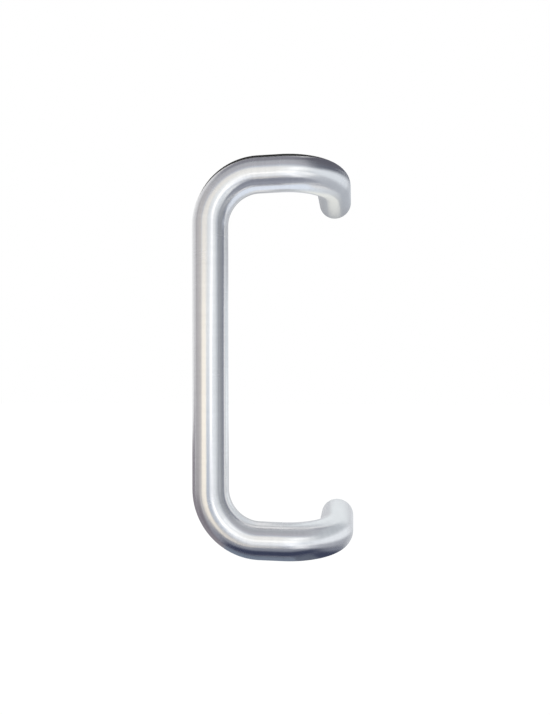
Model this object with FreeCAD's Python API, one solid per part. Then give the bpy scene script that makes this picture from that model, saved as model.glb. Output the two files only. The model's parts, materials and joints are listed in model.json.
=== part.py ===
"""Offset pull handle: one solid round bar, bent four times in two planes.

Each end of the bar is a foot that meets the door face square. From the foot the bar comes straight out of
the door, bends through a right angle to run sideways as a leg, and bends again into the upright grip, so the
grip stands to one side of its own fixings. Each foot is faced, chamfered, drilled and tapped from the door
side, and a through bolt from the far face of the door screws into it.

Frame: the origin lies on the door face, midway between the two feet. +Y points into the door, +Z runs up
along the grip, and the grip stands on the -X side. Lengths are in millimetres, angles in degrees.
"""

import FreeCAD
import Part

import math
import os

# The bar and the path that its centre line follows
BAR_DIAMETER = 25.4
FIXING_CENTRES = 254.0
GRIP_OFFSET = 85.725
DOOR_CLEARANCE = 63.5
BEND_RADIUS = 34.925

# The faced end of each foot
FOOT_CHAMFER = 0.6

# The blind hole in each foot, drilled for a 5/16-18 thread
TAP_DRILL_DIAMETER = 6.6
TAP_DRILL_DEPTH = 25.4
DRILL_POINT_ANGLE = 118.0
MOUTH_CHAMFER = 0.4

INTO_DOOR = FreeCAD.Vector(0, 1, 0)
OUT_OF_DOOR = FreeCAD.Vector(0, -1, 0)

# A point this near the door face lies on it
ON_DOOR_FACE = 1e-6

BAR_RADIUS = BAR_DIAMETER / 2
STAND_OFF = DOOR_CLEARANCE + BAR_RADIUS
FOOT_CENTRES = [FreeCAD.Vector(0, 0, side * FIXING_CENTRES / 2) for side in (1, -1)]


def path_corners():
    """The centre line's corners before bending: foot, elbow and grip corner, then the same in reverse."""
    upper_foot, lower_foot = FOOT_CENTRES
    out = OUT_OF_DOOR * STAND_OFF
    across = FreeCAD.Vector(-GRIP_OFFSET, 0, 0)
    return [
        upper_foot,
        upper_foot + out,
        upper_foot + out + across,
        lower_foot + out + across,
        lower_foot + out,
        lower_foot,
    ]


def bend_at(before, corner, after):
    """The arc of BEND_RADIUS that is tangent to both runs at a right-angled corner."""
    back = (before - corner).normalize()
    onward = (after - corner).normalize()
    start = corner + back * BEND_RADIUS
    end = corner + onward * BEND_RADIUS
    towards_centre = (back + onward).normalize()
    middle = corner + towards_centre * BEND_RADIUS * (math.sqrt(2) - 1)
    return Part.Arc(start, middle, end)


def centre_line():
    """Straight runs joined by tangent bends, from the upper foot to the lower one."""
    corners = path_corners()
    edges = []
    run_start = corners[0]
    for before, corner, after in zip(corners, corners[1:], corners[2:]):
        bend = bend_at(before, corner, after)
        edges.append(Part.LineSegment(run_start, bend.StartPoint).toShape())
        edges.append(bend.toShape())
        run_start = bend.EndPoint
    edges.append(Part.LineSegment(run_start, corners[-1]).toShape())
    return Part.Wire(edges)


def bent_bar():
    """The round section swept along the centre line as one solid."""
    path = centre_line()
    section = Part.Wire(Part.makeCircle(BAR_RADIUS, FOOT_CENTRES[0], INTO_DOOR))
    return path.makePipeShell([section], True, False)


def chamfer_feet(bar):
    """Breaks the rim of both faced ends."""
    rims = [edge for edge in bar.Edges if is_foot_rim(edge)]
    return bar.makeChamfer(FOOT_CHAMFER, rims)


def is_foot_rim(edge):
    """True for an edge that lies wholly on the door face."""
    points = [vertex.Point for vertex in edge.Vertexes] + [edge.CenterOfMass]
    return all(abs(point.y) < ON_DOOR_FACE for point in points)


def cone_length(diameter, included_angle):
    """How long a cone of that base diameter and included angle is."""
    return diameter / 2 / math.tan(math.radians(included_angle / 2))


def tap_drilling(foot):
    """The material that drilling and breaking the mouth's edge take out of one foot."""
    drill_radius = TAP_DRILL_DIAMETER / 2
    hole = Part.makeCylinder(drill_radius, TAP_DRILL_DEPTH, foot, OUT_OF_DOOR)
    point = Part.makeCone(
        drill_radius,
        0,
        cone_length(TAP_DRILL_DIAMETER, DRILL_POINT_ANGLE),
        foot + OUT_OF_DOOR * TAP_DRILL_DEPTH,
        OUT_OF_DOOR,
    )
    mouth = Part.makeCone(drill_radius + MOUTH_CHAMFER, drill_radius, MOUTH_CHAMFER, foot, OUT_OF_DOOR)
    return hole.fuse([point, mouth])


def pull_bar():
    """The whole handle: bent, faced, chamfered and drilled."""
    bar = chamfer_feet(bent_bar())
    drilled = bar.cut([tap_drilling(foot) for foot in FOOT_CENTRES])
    return drilled.removeSplitter()


def main():
    os.makedirs("parts", exist_ok=True)
    handle = pull_bar()
    handle.exportStep("parts/pull_bar.step")
    length = centre_line().Length
    print(f"pull_bar: valid {handle.isValid()}, solids {len(handle.Solids)}")
    print(f"bar length along the centre line {length:.2f} mm, volume {handle.Volume / 1000:.2f} cm3")


main()
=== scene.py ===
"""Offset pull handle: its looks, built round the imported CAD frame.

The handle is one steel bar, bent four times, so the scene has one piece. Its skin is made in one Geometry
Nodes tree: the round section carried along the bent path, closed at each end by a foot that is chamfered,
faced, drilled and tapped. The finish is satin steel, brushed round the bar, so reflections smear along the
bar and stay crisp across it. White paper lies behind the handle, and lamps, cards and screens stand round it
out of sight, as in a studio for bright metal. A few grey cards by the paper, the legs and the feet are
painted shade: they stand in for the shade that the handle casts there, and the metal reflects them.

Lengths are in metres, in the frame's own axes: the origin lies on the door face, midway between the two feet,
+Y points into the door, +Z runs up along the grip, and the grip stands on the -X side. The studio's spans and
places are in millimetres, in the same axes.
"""

import json
import math

import bpy
from mathutils import Matrix, Vector


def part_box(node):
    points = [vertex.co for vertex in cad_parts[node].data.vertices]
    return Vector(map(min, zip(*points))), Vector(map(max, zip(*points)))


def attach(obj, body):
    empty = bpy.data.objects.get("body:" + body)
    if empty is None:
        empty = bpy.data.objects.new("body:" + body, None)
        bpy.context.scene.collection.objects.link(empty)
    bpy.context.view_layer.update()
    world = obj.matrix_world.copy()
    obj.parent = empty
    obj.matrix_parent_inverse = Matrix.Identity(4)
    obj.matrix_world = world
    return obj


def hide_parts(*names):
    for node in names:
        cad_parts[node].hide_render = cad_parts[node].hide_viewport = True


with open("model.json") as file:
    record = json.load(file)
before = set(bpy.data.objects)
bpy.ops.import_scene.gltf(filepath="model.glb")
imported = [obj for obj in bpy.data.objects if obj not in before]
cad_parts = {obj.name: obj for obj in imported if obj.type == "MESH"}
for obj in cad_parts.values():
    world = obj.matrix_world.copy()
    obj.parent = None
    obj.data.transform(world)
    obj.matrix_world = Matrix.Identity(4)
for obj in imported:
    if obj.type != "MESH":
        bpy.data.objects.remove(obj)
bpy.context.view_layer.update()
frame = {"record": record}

MM = 0.001
TURN = 2 * math.pi

# Sizes that the frame gives
low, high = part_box("pull_bar")
mounts = {mount["name"]: mount for mount in frame["record"]["mounts"]}
hole = mounts["upper_fixing_hole"]
hole_wall = hole["dims"]["length_mm"] * MM

BAR_RADIUS = high.x
STAND_OFF = -low.y - BAR_RADIUS
GRIP_OFFSET = -low.x - BAR_RADIUS
FIXING_CENTRES = mounts["door_fixing"]["dims"]["spacing_y_mm"] * MM
DRILL_RADIUS = hole["dims"]["r_mm"] * MM
DRILL_DEPTH = hole_wall / 2 - hole["pos_m"][1]
MOUTH_CHAMFER = DRILL_DEPTH - hole_wall

# Sizes that the frame doesn't name
BEND_RADIUS = 34.925 * MM
FOOT_CHAMFER = 0.6 * MM
DRILL_POINT_ANGLE = math.radians(118)
DRILL_POINT = DRILL_RADIUS / math.tan(DRILL_POINT_ANGLE / 2)

# The 5/16-18 thread in each foot: its root is flat over a share of the pitch, and it runs out at a slope
THREAD_RADIUS = 3.969 * MM
THREAD_PITCH = 25.4 / 18 * MM
THREAD_FLANK_ANGLE = math.radians(30)
THREAD_ROOT_SHARE = 1 / 8
TAPPED_DEPTH = 19 * MM
RUN_OUT_SLOPE = 1 / 2

# How finely the skin is divided: faces round the bar, rings along it, and rows over a foot
RING_STEPS = 96
RING_SPACING = 2 * MM
BEND_STEPS = 64
CHAMFER_ROWS = 1
FACE_ROWS = 6
HOLE_ROWS = 144
POINT_ROWS = 1
FOOT_ROWS = CHAMFER_ROWS + FACE_ROWS + HOLE_ROWS + POINT_ROWS
WELD_DISTANCE = 0.01 * MM
SHARP_ANGLE = math.radians(30)

# The map that the finish is baked through: two lengths of bar and the feet, in three strips
MAP_NAME = "OFBake"
MAP_STRIPS = 3
BAR_STRIPS = 2
STRIP_FILL = 0.95
MAP_MARGIN = 0.01
FOOT_MAP_SHARE = 0.2
LOWER_FOOT_MAP_START = 0.5

# The brushing, in features to the metre round the bar and along it, and how far each shifts the shade
FINE_LINES = {"round_bar": 60, "along_bar": 1800, "detail": 3}
BROAD_BANDS = {"round_bar": 25, "along_bar": 700, "detail": 3}
FAINT_CLOUD = {"round_bar": 40, "along_bar": 40, "detail": 2}
LINES_IN_SHADE = 0.7
BANDS_IN_SHADE = 0.5
CLOUD_IN_SHADE = 0.12
MIDDLE_SHADE = 0.5

# The steel: its tones, the depth of its lines, and how it spreads a reflection
DARK_STEEL = (0.66, 0.66, 0.67, 1)
LIGHT_STEEL = (0.82, 0.82, 0.83, 1)
LINE_RELIEF = 0.15
LINE_DEPTH = 0.02 * MM
SATIN_ROUGHNESS = 0.26
ROUGHNESS_SWING = 0.05
GRAIN_STRENGTH = 0.9

# The photograph's camera, found by fitting the bar's outline to its silhouette, with two lengths in pixels
PHOTO_HEIGHT = 715
PHOTO_FOCAL = 554.15
CAMERA_PLACE = Vector((13.58, -455.28, -9.30)) * MM
CAMERA_PAN = math.radians(8.031)
CAMERA_TILT = math.radians(1.251)
CAMERA_ROLL = math.radians(-0.262)
NEAREST_SEEN = 10 * MM

# The floor lies as far below as it does below a handle on a door
FLOOR_DROP = 1.0
FLOOR_SIZE = 30.0

# The white paper and floor: their light on the rest of the scene, and how white the floor is seen
WHITE = (1, 1, 1, 1)
PAPER_LIGHT = 0.8
FLOOR_PAINT = (0.9, 0.9, 0.9, 1)
FLOOR_GLOW = 1.06
FLOOR_WHITENESS = 0.9

# Where the studio's wall and screens stand, in millimetres
WALL_PLACE = -640
WALL_HALF = 1600
WALL = (-WALL_HALF, WALL_HALF)
ROOM_HALF = 1000
ROOM = (-ROOM_HALF, ROOM_HALF)

# Spans that several studio cards share, in millimetres: two along x, then five along y
BEHIND_LEG = (-130, -25)
MIDDLE_OF_LEG = (-52, -24)
LEG_TO_PAPER = (-62, 20)
UNDER_LEG = (-89, -48)
BESIDE_LEG_END = (-205, -120)
BESIDE_ELBOW = (-170, 20)
ELBOW_TO_PAPER = (-100, 15)

# Tones that several studio cards share
SLATE = (0.28, 0.30, 0.36)
BLUE_GREY = (0.56, 0.59, 0.64)
NAVY = (0.05, 0.06, 0.11)


class Rule:
    """A number in a node tree. Arithmetic on it adds Math nodes, so a rule reads as a formula."""

    def __init__(self, tree, socket):
        self.tree = tree
        self.socket = socket

    def worked(self, operation, *others):
        node = self.tree.nodes.new("ShaderNodeMath")
        node.operation = operation
        for slot, value in zip(node.inputs, (self, *others)):
            feed(self.tree, slot, value)
        return Rule(self.tree, node.outputs["Value"])

    def __add__(self, other):
        return self.worked("ADD", other)

    def __sub__(self, other):
        return self.worked("SUBTRACT", other)

    def __rsub__(self, other):
        return self * -1 + other

    def __mul__(self, other):
        return self.worked("MULTIPLY", other)

    def __truediv__(self, other):
        return self.worked("DIVIDE", other)

    def at_most(self, other):
        return self.worked("MINIMUM", other)

    def at_least(self, other):
        return self.worked("MAXIMUM", other)

    def share(self):
        return self.at_least(0).at_most(1)

    def eased(self):
        share = self.share()
        return share * share * (3 - share * 2)


def feed(tree, socket, value):
    """Links a rule or another socket to a socket, or sets a plain value on it."""
    if isinstance(value, Rule):
        tree.links.new(value.socket, socket)
    elif isinstance(value, bpy.types.NodeSocket):
        tree.links.new(value, socket)
    else:
        socket.default_value = value


def add_node(tree, kind, inputs=None, **settings):
    """A new node with its settings made and its inputs fed."""
    node = tree.nodes.new(kind)
    for name, value in settings.items():
        setattr(node, name, value)
    for name, value in (inputs or {}).items():
        feed(tree, node.inputs[name], value)
    return node


def in_use(sockets):
    """The sockets that a node's settings leave in use."""
    return [socket for socket in sockets if socket.enabled]


def split(tree, vector):
    """The three parts of a vector."""
    parts = add_node(tree, "ShaderNodeSeparateXYZ", {"Vector": vector})
    return [Rule(tree, part) for part in parts.outputs]


def joined(tree, x, y, z):
    """A vector of three parts."""
    return add_node(tree, "ShaderNodeCombineXYZ", {"X": x, "Y": y, "Z": z}).outputs["Vector"]


def captured(tree, geometry, **fields):
    """Geometry that carries the named fields with it, and those fields as they were here."""
    node = tree.nodes.new("GeometryNodeCaptureAttribute")
    for name in fields:
        node.capture_items.new("FLOAT", name)
    feed(tree, node.inputs["Geometry"], geometry)
    for name, value in fields.items():
        feed(tree, node.inputs[name], value)
    return node.outputs["Geometry"], [Rule(tree, node.outputs[name]) for name in fields]


def stored(tree, geometry, name, value, domain, data_type):
    """Geometry with a named attribute on it."""
    inputs = {"Geometry": geometry, "Name": name}
    node = add_node(tree, "GeometryNodeStoreNamedAttribute", inputs, domain=domain, data_type=data_type)
    shown = [socket for socket in in_use(node.inputs) if socket.name == "Value"]
    feed(tree, shown[0], value)
    return node.outputs["Geometry"]


def own_place(tree):
    """Where each point of the geometry lies."""
    return tree.nodes.new("GeometryNodeInputPosition").outputs["Position"]


def unrolled(tree, geometry, run, turn, given):
    """Stores where the finish finds itself: round the bar in x and y, and how far along it in z."""
    angle = turn * TURN
    radius = Rule(tree, given["Bar Radius"])
    place = joined(tree, radius * angle.worked("COSINE"), radius * angle.worked("SINE"), run)
    return stored(tree, geometry, "unrolled", place, "POINT", "FLOAT_VECTOR")


def path_corners():
    """The centre line's corners before bending, from the rim of the upper foot to that of the lower one."""
    upper = [
        Vector((0, -FOOT_CHAMFER, FIXING_CENTRES / 2)),
        Vector((0, -STAND_OFF, FIXING_CENTRES / 2)),
        Vector((-GRIP_OFFSET, -STAND_OFF, FIXING_CENTRES / 2)),
    ]
    lower = [Vector((x, y, -z)) for x, y, z in reversed(upper)]
    return upper + lower


def bent_path(tree, given):
    """The centre line, with its corners rounded to the bend radius and even steps along it."""
    straight = add_node(tree, "GeometryNodeMeshToCurve", {"Mesh": given["Geometry"]}).outputs["Curve"]
    bends = {"Curve": straight, "Count": BEND_STEPS, "Radius": given["Bend Radius"]}
    bent = add_node(tree, "GeometryNodeFilletCurve", bends, mode="POLY").outputs["Curve"]
    steps = {"Curve": bent, "Length": given["Ring Spacing"]}
    return add_node(tree, "GeometryNodeResampleCurve", steps, mode="LENGTH").outputs["Curve"]


def bar_skin(tree, path, given):
    """The round section carried along the path, open at both ends."""
    along = tree.nodes.new("GeometryNodeSplineParameter")
    length = Rule(tree, add_node(tree, "GeometryNodeCurveLength", {"Curve": path}).outputs["Length"])
    path, (run,) = captured(tree, path, run=along.outputs["Length"])
    circle = {"Resolution": RING_STEPS + 1, "Radius": given["Bar Radius"], "Sweep Angle": TURN}
    section = add_node(tree, "GeometryNodeCurveArc", circle, mode="RADIUS").outputs["Curve"]
    section, (turn,) = captured(tree, section, turn=along.outputs["Factor"])
    sweep = {"Curve": path, "Profile Curve": section}
    skin = add_node(tree, "GeometryNodeCurveToMesh", sweep).outputs["Mesh"]
    skin = unrolled(tree, skin, run, turn, given)
    return bar_mapped(tree, skin, run, turn, length)


def bar_mapped(tree, skin, run, turn, length):
    """The bar's skin with its place on the map, cut into equal lengths that lie side by side."""
    strip_length = length / BAR_STRIPS
    middle = add_node(tree, "GeometryNodeFieldOnDomain", {"Value": run}, domain="FACE", data_type="FLOAT")
    strip = (Rule(tree, middle.outputs["Value"]) / strip_length).worked("FLOOR")
    u = (run / strip_length - strip) * (1 - 2 * MAP_MARGIN) + MAP_MARGIN
    v = (strip + turn * STRIP_FILL) / MAP_STRIPS
    return stored(tree, skin, MAP_NAME, joined(tree, u, v, 0), "CORNER", "FLOAT2")


def threaded_wall(tree, depth, turn, given):
    """How far the hole's wall is from its axis: a right-hand thread that starts at the mouth and runs out."""
    pitch = Rule(tree, given["Thread Pitch"])
    crest = Rule(tree, given["Drill Radius"])
    root = Rule(tree, given["Thread Radius"])
    mouth = crest + given["Mouth Chamfer"]
    from_root = ((depth / pitch - turn).worked("FRACT") - 0.5).worked("ABSOLUTE") * pitch
    from_flat = (from_root - pitch * (THREAD_ROOT_SHARE / 2)).at_least(0)
    groove = root - from_flat / math.tan(THREAD_FLANK_ANGLE)
    run_out = crest + (Rule(tree, given["Tapped Depth"]) - depth) * RUN_OUT_SLOPE
    thread = groove.at_most(mouth + depth).at_most(run_out)
    return thread.at_least(crest).at_least(mouth - depth)


def foot_stages(row):
    """How much of the chamfer, face, hole and drill point a row has passed, each from nought to one."""
    stages = []
    passed = 0
    for rows in (CHAMFER_ROWS, FACE_ROWS, HOLE_ROWS, POINT_ROWS):
        stages.append(((row - passed) / rows).share())
        passed += rows
    return stages


def foot_surface(tree, turn, row, given):
    """Where a point of the foot lies, and how far that is from the rim over the foot's surface."""
    chamfered, faced, drilled, pointed = foot_stages(row)
    chamfer = Rule(tree, given["Foot Chamfer"])
    depth = drilled * given["Drill Depth"]
    point = pointed * given["Drill Point"]
    face_edge = Rule(tree, given["Bar Radius"]) - chamfered * chamfer
    wall = threaded_wall(tree, depth, turn, given)
    radius = (face_edge + (wall - face_edge) * faced) * (1 - pointed)
    sunk = (1 - chamfered) * chamfer + depth + point
    run = chamfered * chamfer + (face_edge - wall) * faced + depth + point
    angle = turn * TURN
    return joined(tree, radius * angle.worked("COSINE"), sunk * -1, radius * angle.worked("SINE")), run


def foot_skin(tree, given):
    """One foot at the origin, facing +Y, from its rim over the chamfer and face to the drill point."""
    size = {"Size X": 1, "Size Y": FOOT_ROWS, "Vertices X": RING_STEPS + 1, "Vertices Y": FOOT_ROWS + 1}
    sheet = add_node(tree, "GeometryNodeMeshGrid", size).outputs["Mesh"]
    across, down, _ = split(tree, own_place(tree))
    turn = across + 0.5
    row = down + FOOT_ROWS / 2
    surface, run = foot_surface(tree, turn, row, given)
    sheet, (run, turn, row) = captured(tree, sheet, run=run, turn=turn, row=row)
    shape = {"Geometry": sheet, "Position": surface}
    foot = add_node(tree, "GeometryNodeSetPosition", shape).outputs["Geometry"]
    foot = add_node(tree, "GeometryNodeFlipFaces", {"Mesh": foot}).outputs["Mesh"]
    return unrolled(tree, foot, run * -1, turn, given), turn, row


def feet_skin(tree, path, given):
    """The foot set on both ends of the path."""
    foot, turn, row = foot_skin(tree, given)
    ends = tree.nodes.new("GeometryNodeCurveEndpointSelection").outputs["Selection"]
    down_to_rim = {"Geometry": foot, "Translation": joined(tree, 0, given["Foot Chamfer"], 0)}
    foot = add_node(tree, "GeometryNodeTransform", down_to_rim).outputs["Geometry"]
    setting = {"Points": path, "Selection": ends, "Instance": foot}
    feet = add_node(tree, "GeometryNodeInstanceOnPoints", setting).outputs["Instances"]
    feet = add_node(tree, "GeometryNodeRealizeInstances", {"Geometry": feet}).outputs["Geometry"]
    _, _, height = split(tree, own_place(tree))
    lower_foot = height.worked("LESS_THAN", 0)
    u = lower_foot * LOWER_FOOT_MAP_START + row / FOOT_ROWS * FOOT_MAP_SHARE + MAP_MARGIN
    v = (turn * STRIP_FILL + BAR_STRIPS) / MAP_STRIPS
    return stored(tree, feet, MAP_NAME, joined(tree, u, v, 0), "CORNER", "FLOAT2")


def bent_bar_tree(sizes, finish):
    """The tree that turns the path's corners into the whole bar."""
    tree = bpy.data.node_groups.new("bent_bar", "GeometryNodeTree")
    tree.interface.new_socket("Geometry", in_out="INPUT", socket_type="NodeSocketGeometry")
    for name in sizes:
        tree.interface.new_socket(name, in_out="INPUT", socket_type="NodeSocketFloat")
    tree.interface.new_socket("Geometry", in_out="OUTPUT", socket_type="NodeSocketGeometry")
    given = tree.nodes.new("NodeGroupInput").outputs
    path = bent_path(tree, given)
    skins = tree.nodes.new("GeometryNodeJoinGeometry")
    for skin in (bar_skin(tree, path, given), feet_skin(tree, path, given)):
        feed(tree, skins.inputs["Geometry"], skin)
    whole = skins.outputs["Geometry"]
    for kind, inputs in (
        ("GeometryNodeMergeByDistance", {"Distance": WELD_DISTANCE}),
        ("GeometryNodeRealizeInstances", {}),
        ("GeometryNodeSetShadeSmooth", {}),
        ("GeometryNodeSetMaterial", {"Material": finish}),
    ):
        whole = add_node(tree, kind, {"Geometry": whole, **inputs}).outputs["Geometry"]
    feed(tree, tree.nodes.new("NodeGroupOutput").inputs["Geometry"], whole)
    return tree


def bar_sizes():
    """The sizes that the tree is given, by the names of its inputs."""
    return {
        "Bar Radius": BAR_RADIUS,
        "Bend Radius": BEND_RADIUS,
        "Ring Spacing": RING_SPACING,
        "Foot Chamfer": FOOT_CHAMFER,
        "Drill Radius": DRILL_RADIUS,
        "Drill Depth": DRILL_DEPTH,
        "Drill Point": DRILL_POINT,
        "Mouth Chamfer": MOUTH_CHAMFER,
        "Thread Radius": THREAD_RADIUS,
        "Thread Pitch": THREAD_PITCH,
        "Tapped Depth": TAPPED_DEPTH,
    }


def straight_path():
    """An object that holds the centre line before bending."""
    corners = path_corners()
    path = bpy.data.meshes.new("bar_path")
    path.from_pydata(corners, [(n, n + 1) for n in range(len(corners) - 1)], [])
    bar = bpy.data.objects.new("bent_bar", path)
    bpy.context.scene.collection.objects.link(bar)
    return bar


def bent_bar(finish):
    """The handle itself, as one plain closed mesh."""
    sizes = bar_sizes()
    bar = straight_path()
    shaping = bar.modifiers.new("bend_and_tap", "NODES")
    shaping.node_group = bent_bar_tree(sizes, finish)
    for socket in shaping.node_group.interface.items_tree:
        if socket.name in sizes:
            shaping[socket.identifier] = sizes[socket.name]
    depsgraph = bpy.context.evaluated_depsgraph_get()
    skin = bpy.data.meshes.new_from_object(
        bar.evaluated_get(depsgraph), preserve_all_data_layers=True, depsgraph=depsgraph
    )
    bar.modifiers.remove(shaping)
    # The sheet that each foot is shaped from brings an empty slot with it
    skin.materials.pop(index=0)
    bar.data = skin
    skin.set_sharp_from_angle(angle=SHARP_ANGLE)
    return bar


def new_material(name):
    """An empty material, its tree, and the socket that takes its surface."""
    material = bpy.data.materials.new(name)
    material.use_nodes = True
    tree = material.node_tree
    tree.nodes.clear()
    return material, tree, tree.nodes.new("ShaderNodeOutputMaterial").inputs["Surface"]


def brushing(tree, place, round_bar, along_bar, detail):
    """Noise about nought on the unrolled bar, that many features to the metre round it and along it."""
    stretch = {"Vector": place, "Scale": (round_bar, round_bar, along_bar)}
    stretched = add_node(tree, "ShaderNodeMapping", stretch).outputs["Vector"]
    noise = add_node(tree, "ShaderNodeTexNoise", {"Vector": stretched, "Scale": 1, "Detail": detail})
    return Rule(tree, noise.outputs["Fac"]) - 0.5


def between(tree, share, dark, light):
    """A colour that goes from dark to light with the share."""
    node = add_node(tree, "ShaderNodeMix", data_type="RGBA")
    for socket, value in zip(in_use(node.inputs), (share, dark, light)):
        feed(tree, socket, value)
    return in_use(node.outputs)[0]


def satin_steel():
    """Stainless steel, brushed round the bar with a fine belt."""
    material, tree, surface = new_material("satin_steel")
    place = add_node(tree, "ShaderNodeAttribute", attribute_name="unrolled").outputs["Vector"]
    lines = brushing(tree, place, **FINE_LINES)
    bands = brushing(tree, place, **BROAD_BANDS)
    cloud = brushing(tree, place, **FAINT_CLOUD)
    shade = lines * LINES_IN_SHADE + bands * BANDS_IN_SHADE + cloud * CLOUD_IN_SHADE + MIDDLE_SHADE
    relief = {"Strength": LINE_RELIEF, "Distance": LINE_DEPTH, "Height": lines}
    grain = add_node(tree, "ShaderNodeTangent", direction_type="UV_MAP", uv_map=MAP_NAME)
    steel = {
        "Base Color": between(tree, shade, DARK_STEEL, LIGHT_STEEL),
        "Metallic": 1,
        "Roughness": (bands + cloud) * ROUGHNESS_SWING + SATIN_ROUGHNESS,
        "Anisotropic": GRAIN_STRENGTH,
        "Tangent": grain.outputs["Tangent"],
        "Normal": add_node(tree, "ShaderNodeBump", relief).outputs["Normal"],
    }
    feed(tree, surface, add_node(tree, "ShaderNodeBsdfPrincipled", steel).outputs["BSDF"])
    return material


def seen_directly(tree):
    """One for a ray from the camera, from polished metal or through glass, and nought for other light."""
    path = tree.nodes.new("ShaderNodeLightPath").outputs
    rays = Rule(tree, path["Is Camera Ray"]) + path["Is Glossy Ray"] + path["Is Transmission Ray"]
    return rays.share()


def white_world():
    """White paper all round for what is seen directly, and soft light for the rest."""
    world = bpy.data.worlds.new("white_paper")
    world.use_nodes = True
    tree = world.node_tree
    tree.nodes.clear()
    strength = seen_directly(tree) * (1 - PAPER_LIGHT) + PAPER_LIGHT
    paper = add_node(tree, "ShaderNodeBackground", {"Color": WHITE, "Strength": strength})
    output = tree.nodes.new("ShaderNodeOutputWorld")
    feed(tree, output.inputs["Surface"], paper.outputs["Background"])
    bpy.context.scene.world = world


def mixed(tree, surface, share, under, over):
    """Covers one shader with a share of another."""
    mix = add_node(tree, "ShaderNodeMixShader", {0: share, 1: under, 2: over})
    feed(tree, surface, mix.outputs["Shader"])


def flat_sheet(name, width, height):
    """A level rectangle round the origin that belongs to the studio."""
    sheet = bpy.data.meshes.new(name)
    corners = [(x * width / 2, y * height / 2, 0) for x, y in ((-1, -1), (1, -1), (1, 1), (-1, 1))]
    sheet.from_pydata(corners, [], [(0, 1, 2, 3)])
    item = bpy.data.objects.new(name, sheet)
    bpy.context.scene.collection.objects.link(item)
    return item


def pale_floor():
    """A white floor that still takes a soft shadow."""
    floor = flat_sheet("floor", FLOOR_SIZE, FLOOR_SIZE)
    floor.location.z = -FLOOR_DROP
    material, tree, surface = new_material("pale_floor")
    paint = add_node(tree, "ShaderNodeBsdfDiffuse", {"Color": FLOOR_PAINT}).outputs["BSDF"]
    white = add_node(tree, "ShaderNodeEmission", {"Color": WHITE, "Strength": FLOOR_GLOW}).outputs["Emission"]
    mixed(tree, surface, seen_directly(tree) * FLOOR_WHITENESS, paint, white)
    floor.data.materials.append(material)


def card_light(name, width, height, colour, soft, seen_from):
    """Light of one colour that fades towards a card's edges, and is gone beyond the distance in seen_from."""
    material, tree, surface = new_material(name)
    across, up, _ = split(tree, tree.nodes.new("ShaderNodeTexCoord").outputs["Object"])
    from_side = (width / 2 - across.worked("ABSOLUTE")) / (soft * MM)
    from_end = (height / 2 - up.worked("ABSOLUTE")) / (soft * MM)
    shown = from_side.eased() * from_end.eased()
    if seen_from:
        away = Rule(tree, tree.nodes.new("ShaderNodeLightPath").outputs["Ray Length"])
        shown = shown * away.worked("LESS_THAN", seen_from * MM)
    clear = tree.nodes.new("ShaderNodeBsdfTransparent").outputs["BSDF"]
    light = add_node(tree, "ShaderNodeEmission", {"Color": (*colour, 1), "Strength": 1}).outputs["Emission"]
    mixed(tree, surface, shown, clear, light)
    return material


def turned_to(across, up):
    """The turn that lays a level sheet's sides along two of the frame's axes, given by number."""
    sides = [Vector([float(axis == side) for axis in range(3)]) for side in (across, up)]
    return Matrix((*sides, sides[0].cross(sides[1]))).transposed().to_4x4()


def studio_card(name, x, y, z, colour, soft, seen_from=None):
    """A flat card that only shows in the metal. Two of x, y and z are spans and one is its place.

    Its edges fade over the length in soft. Where seen_from gives a distance, only nearer metal shows it.
    """
    spans = [value if isinstance(value, tuple) else (value, value) for value in (x, y, z)]
    middle = Vector([(start + end) / 2 for start, end in spans]) * MM
    reach = [(end - start) * MM for start, end in spans]
    facing = reach.index(0)
    across, up = [axis for axis in range(3) if axis != facing]
    card = flat_sheet(name, reach[across], reach[up])
    card.matrix_world = Matrix.Translation(middle) @ turned_to(across, up)
    card.visible_camera = False
    card.visible_diffuse = False
    card.visible_shadow = False
    card.data.materials.append(card_light(name, reach[across], reach[up], colour, soft, seen_from))


def wall_behind_camera():
    """The wall that the handle faces, and the greys on it, from the wall forward."""
    cool_grey = (0.62, 0.66, 0.70)
    warm_grey = (0.70, 0.67, 0.65)
    studio_card("wall", WALL, WALL_PLACE, WALL, (0.65, 0.75, 0.90), soft=10)
    studio_card("grey_above_camera", WALL, WALL_PLACE + 2, (220, WALL_HALF), (0.54, 0.54, 0.58), soft=430)
    studio_card("slate_below_camera", WALL, WALL_PLACE + 4, (-WALL_HALF, -110), SLATE, soft=280)
    studio_card("grey_right_of_camera", (380, WALL_HALF), WALL_PLACE + 6, (-500, 500), cool_grey, soft=260)
    studio_card("grey_left_of_camera", (-WALL_HALF, -590), WALL_PLACE + 8, (-600, 600), warm_grey, soft=20)


def glows_behind_camera():
    """Lit paper in front of the wall, and the cream card that colours the grip's left side."""
    studio_card("glow", (-450, 820), WALL_PLACE + 10, (-250, 580), (1.03, 1.06, 1.06), soft=380)
    studio_card("glow_low_right", (110, 900), WALL_PLACE + 11, (-440, -60), (1.02, 1.05, 1.06), soft=140)
    studio_card("glow_top_right", (150, 500), WALL_PLACE + 11.4, (190, 420), (1.35, 1.37, 1.37), soft=80)
    studio_card("glow_bend_low", (120, 560), WALL_PLACE + 11.7, (-460, -190), (1.30, 1.33, 1.34), soft=60)
    studio_card("cream_card", (-612, -200), WALL_PLACE + 12, (-420, 150), (1.40, 1.30, 1.12), soft=20)
    studio_card("cream_card_top", (-560, -80), WALL_PLACE + 13, (80, 420), (1.12, 1.08, 1.00), soft=70)


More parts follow.
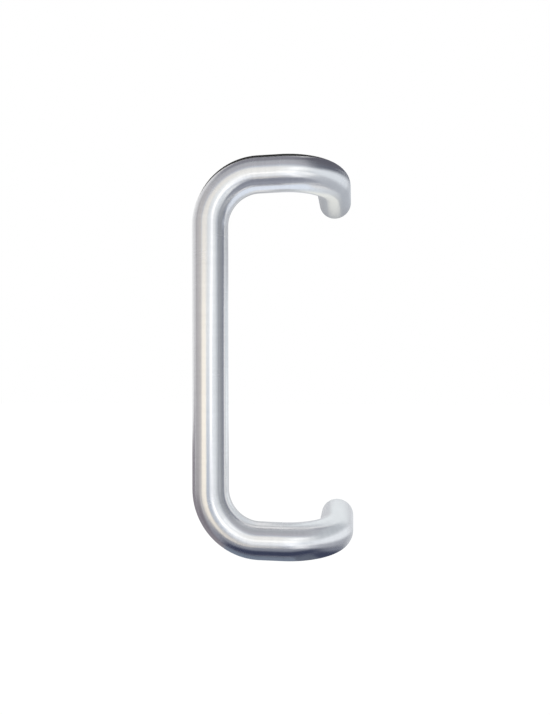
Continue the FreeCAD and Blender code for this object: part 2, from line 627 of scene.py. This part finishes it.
def lamps():
    """The lamps that make the long highlights: one along the legs, three along the grip and its bends."""
    studio_card("level_lamp", (-330, 230), WALL_PLACE + 14, (-20, 56), (1.5, 1.5, 1.47), soft=30)
    studio_card("upright_lamp", (-36, 180), WALL_PLACE + 16, (-240, 130), (1.9, 1.9, 1.9), soft=70)
    studio_card("upright_lamp_low", (110, 300), WALL_PLACE + 17, (-420, -160), (1.75, 1.75, 1.75), soft=70)
    studio_card("upright_lamp_top", (60, 300), WALL_PLACE + 18, (80, 330), (1.85, 1.85, 1.85), soft=80)


def side_screens():
    """Screens to the left and right of the handle."""
    brown = (0.22, 0.20, 0.23)
    pale = (0.66, 0.68, 0.71)
    studio_card("left_screen", -ROOM_HALF, (WALL_PLACE, -240), ROOM, (0.62, 0.60, 0.60), soft=40)
    studio_card("left_screen_middle", 2 - ROOM_HALF, (-300, -130), ROOM, (0.47, 0.46, 0.47), soft=40)
    studio_card("left_screen_edge", -ROOM_HALF, (-170, 20), ROOM, (0.64, 0.63, 0.64), soft=40)
    studio_card("left_screen_low", 4 - ROOM_HALF, (WALL_PLACE, 190), (-1200, -260), brown, soft=170)
    studio_card("right_screen", ROOM_HALF, (WALL_PLACE, 60), ROOM, (0.35, 0.37, 0.40), soft=40)
    studio_card("right_screen_front", ROOM_HALF - 2, (WALL_PLACE, -200), ROOM, (0.44, 0.46, 0.49), soft=160)
    studio_card("right_screen_low", ROOM_HALF - 5, (WALL_PLACE, -150), (-ROOM_HALF, -230), pale, soft=120)


def ceiling_and_table():
    """What the tops and undersides of the legs face."""
    studio_card("ceiling_front", ROOM, (-600, -180), ROOM_HALF, (0.50, 0.52, 0.55), soft=40)
    studio_card("ceiling_back", ROOM, (-220, 20), ROOM_HALF - 2, (0.62, 0.64, 0.68), soft=40)
    studio_card("table_front", ROOM, (-670, -180), 3 - ROOM_HALF, (0.36, 0.38, 0.44), soft=40)
    studio_card("table_left_back", (-1010, -130), (-300, 26), 1 - ROOM_HALF, (0.24, 0.22, 0.26), soft=12)


def shades_before_paper():
    """Greys in front of the paper behind the handle, which the sides of the bar turn towards; some are
    painted shade.
    """
    studio_card("paper_left", (-ROOM_HALF, -300), 30, ROOM, (0.80, 0.80, 0.82), soft=60)
    # Painted shade: a blue-grey on the paper behind the grip, where the handle's shadow falls.
    studio_card("blue_grey_shade_behind_grip", (-70, 130), 28, (-140, 140), (0.85, 0.90, 0.94), soft=30)
    studio_card("grey_behind_grip_top", (-50, 75), 27, (50, 200), (0.64, 0.66, 0.70), soft=30)
    studio_card("slate_right", (240, ROOM_HALF), 26, ROOM, SLATE, soft=20)
    studio_card("slate_right_top", (140, 300), 24, (70, 400), SLATE, soft=20)
    studio_card("brown_left_low", (-1010, -102), 24, (-1010, -60), (0.30, 0.28, 0.31), soft=24)
    # Painted shade: two greys on the paper behind the legs, standing in for the handle's shadow there.
    studio_card("shade_behind_upper_leg", BEHIND_LEG, 20, (40, 190), (0.50, 0.51, 0.53), soft=45)
    studio_card("shade_behind_lower_leg", BEHIND_LEG, 20, (-190, -50), (0.52, 0.54, 0.56), soft=45)


def cards_by_legs():
    """Cards held close to the legs, most of them for the dark along their edges."""
    black = (0.03, 0.03, 0.03)
    violet = (0.29, 0.29, 0.33)
    upper_shade = (0.58, 0.60, 0.62)
    lower_shade = (0.66, 0.69, 0.72)
    pale = (0.98, 1.06, 1.18)
    slate = (0.22, 0.26, 0.33)
    dark_slate = (0.14, 0.16, 0.21)
    studio_card("black_over_upper_leg", (-140, 0), -40, (142, 330), black, soft=4, seen_from=230)
    studio_card("violet_over_upper_leg", (-130, 0), (-112, -72), 190, violet, soft=4, seen_from=150)
    # Painted shade: the two shade cards stand in for the shade under the upper leg and over the lower one.
    studio_card("shade_under_upper_leg", MIDDLE_OF_LEG, LEG_TO_PAPER, 88, upper_shade, soft=8, seen_from=70)
    studio_card("pale_under_upper_leg", (-64, -6), (-84, -61), 98, pale, soft=5, seen_from=22)
    studio_card("shade_over_lower_leg", MIDDLE_OF_LEG, LEG_TO_PAPER, -88, lower_shade, soft=8, seen_from=70)
    studio_card("navy_under_lower_leg", (-90, 10), (-105, -83), -143, NAVY, soft=8, seen_from=60)
    studio_card("slate_under_lower_leg", (-85, -24), UNDER_LEG, -144, slate, soft=3, seen_from=60)
    studio_card("slate_step_under_leg", (-28, -8), UNDER_LEG, -144.5, dark_slate, soft=3, seen_from=60)


def cards_by_upper_elbow():
    """Cards held close to the upper elbow, dark above it and pale beside it."""
    dark = (0.14, 0.15, 0.19)
    pale = (0.92, 0.97, 1.02)
    bright = (1.40, 1.42, 1.40)
    near_black = (0.13, 0.13, 0.16)
    studio_card("dark_over_upper_elbow", 69, BESIDE_ELBOW, (140, 330), dark, soft=34, seen_from=210)
    studio_card("pale_by_upper_elbow", 70, BESIDE_ELBOW, (94, 220), pale, soft=24, seen_from=130)
    studio_card("grey_below_upper_elbow", 71, (-250, 20), (20, 130), BLUE_GREY, soft=12, seen_from=140)
    studio_card("grey_by_upper_leg_end", 44, BESIDE_LEG_END, (28, 80), BLUE_GREY, soft=8, seen_from=114)
    studio_card("bright_by_upper_leg_end", 43, BESIDE_LEG_END, (80, 114), bright, soft=8, seen_from=114)
    studio_card("dark_above_upper_elbow", (-8, 64), ELBOW_TO_PAPER, 189, near_black, soft=8, seen_from=120)


def cards_by_upper_foot():
    """Cards close behind the upper foot."""
    dark = (0.16, 0.17, 0.21)
    grey = (0.54, 0.57, 0.62)
    shade = (0.46, 0.48, 0.51)
    white = (1.14, 1.15, 1.08)
    studio_card("dark_above_upper_foot", (-18, 75), 19, (150, 330), dark, soft=16, seen_from=210)
    studio_card("grey_by_upper_foot", (15, 74), 20, (60, 190), grey, soft=6, seen_from=130)
    # Painted shadow: a grey that stands in for the shadow on the paper round the foot's end.
    studio_card("shade_behind_upper_foot", (-45, 24), 18, (97, 140), shade, soft=6, seen_from=80)
    studio_card("white_by_upper_foot", (-30, 60), 22, (20, 112), white, soft=10, seen_from=110)


def cards_by_lower_elbow():
    """Cards held close to the lower elbow, navy below it and pale beside it."""
    deep_navy = (0.06, 0.07, 0.12)
    pale = (1.04, 1.08, 1.12)
    slate = (0.48, 0.50, 0.55)
    grey = (0.60, 0.64, 0.68)
    leg_grey = (0.55, 0.57, 0.63)
    dark_slate = (0.26, 0.28, 0.34)
    studio_card("navy_below_lower_elbow", 69, BESIDE_ELBOW, (-330, -158), NAVY, soft=60, seen_from=210)
    studio_card("navy_under_lower_elbow", (-34, 18), (-96, 12), -152, deep_navy, soft=14, seen_from=60)
    studio_card("pale_by_lower_elbow", 70, BESIDE_ELBOW, (-154, -90), pale, soft=22, seen_from=130)
    studio_card("slate_below_lower_elbow", 71, BESIDE_ELBOW, (-230, -118), slate, soft=12, seen_from=150)
    studio_card("grey_over_lower_elbow", 72, BESIDE_ELBOW, (-118, 20), grey, soft=12, seen_from=130)
    studio_card("grey_by_lower_leg_end", 44, BESIDE_LEG_END, (-195, -138), leg_grey, soft=8, seen_from=114)
    studio_card("slate_under_lower_elbow", (8, 64), ELBOW_TO_PAPER, -189, dark_slate, soft=8, seen_from=120)


def cards_by_lower_foot():
    """Cards close behind the lower foot."""
    navy = (0.12, 0.13, 0.18)
    shade = (0.79, 0.81, 0.84)
    white = (1.08, 1.13, 1.15)
    studio_card("navy_below_lower_foot", (4, 75), 19, (-330, -180), navy, soft=40, seen_from=210)
    # Painted shadow: a grey that stands in for the shadow on the paper round the foot's end.
    studio_card("shade_behind_lower_foot", (-60, 74), 20, (-210, -60), shade, soft=8, seen_from=130)
    studio_card("white_by_lower_foot", (-20, 80), 18, (-111, -10), white, soft=6, seen_from=150)


def studio():
    """All that stands round the handle, from the far wall to what is held close."""
    wall_behind_camera()
    glows_behind_camera()
    lamps()
    side_screens()
    ceiling_and_table()
    shades_before_paper()
    cards_by_legs()
    cards_by_upper_elbow()
    cards_by_upper_foot()
    cards_by_lower_elbow()
    cards_by_lower_foot()


def photo_camera():
    """The camera where the photograph was taken from."""
    camera = bpy.data.objects.new("camera", bpy.data.cameras.new("camera"))
    bpy.context.scene.collection.objects.link(camera)
    camera.data.lens = PHOTO_FOCAL / PHOTO_HEIGHT * camera.data.sensor_width
    camera.data.clip_start = NEAREST_SEEN
    aimed = Matrix.Rotation(CAMERA_PAN, 4, "Z") @ Matrix.Rotation(math.pi / 2 + CAMERA_TILT, 4, "X")
    camera.matrix_world = Matrix.Translation(CAMERA_PLACE) @ aimed @ Matrix.Rotation(CAMERA_ROLL, 4, "Z")
    bpy.context.scene.camera = camera


bar = bent_bar(satin_steel())
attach(bar, "root")
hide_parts("pull_bar")

white_world()
pale_floor()
studio()
photo_camera()
bpy.context.scene.view_settings.view_transform = "Standard"
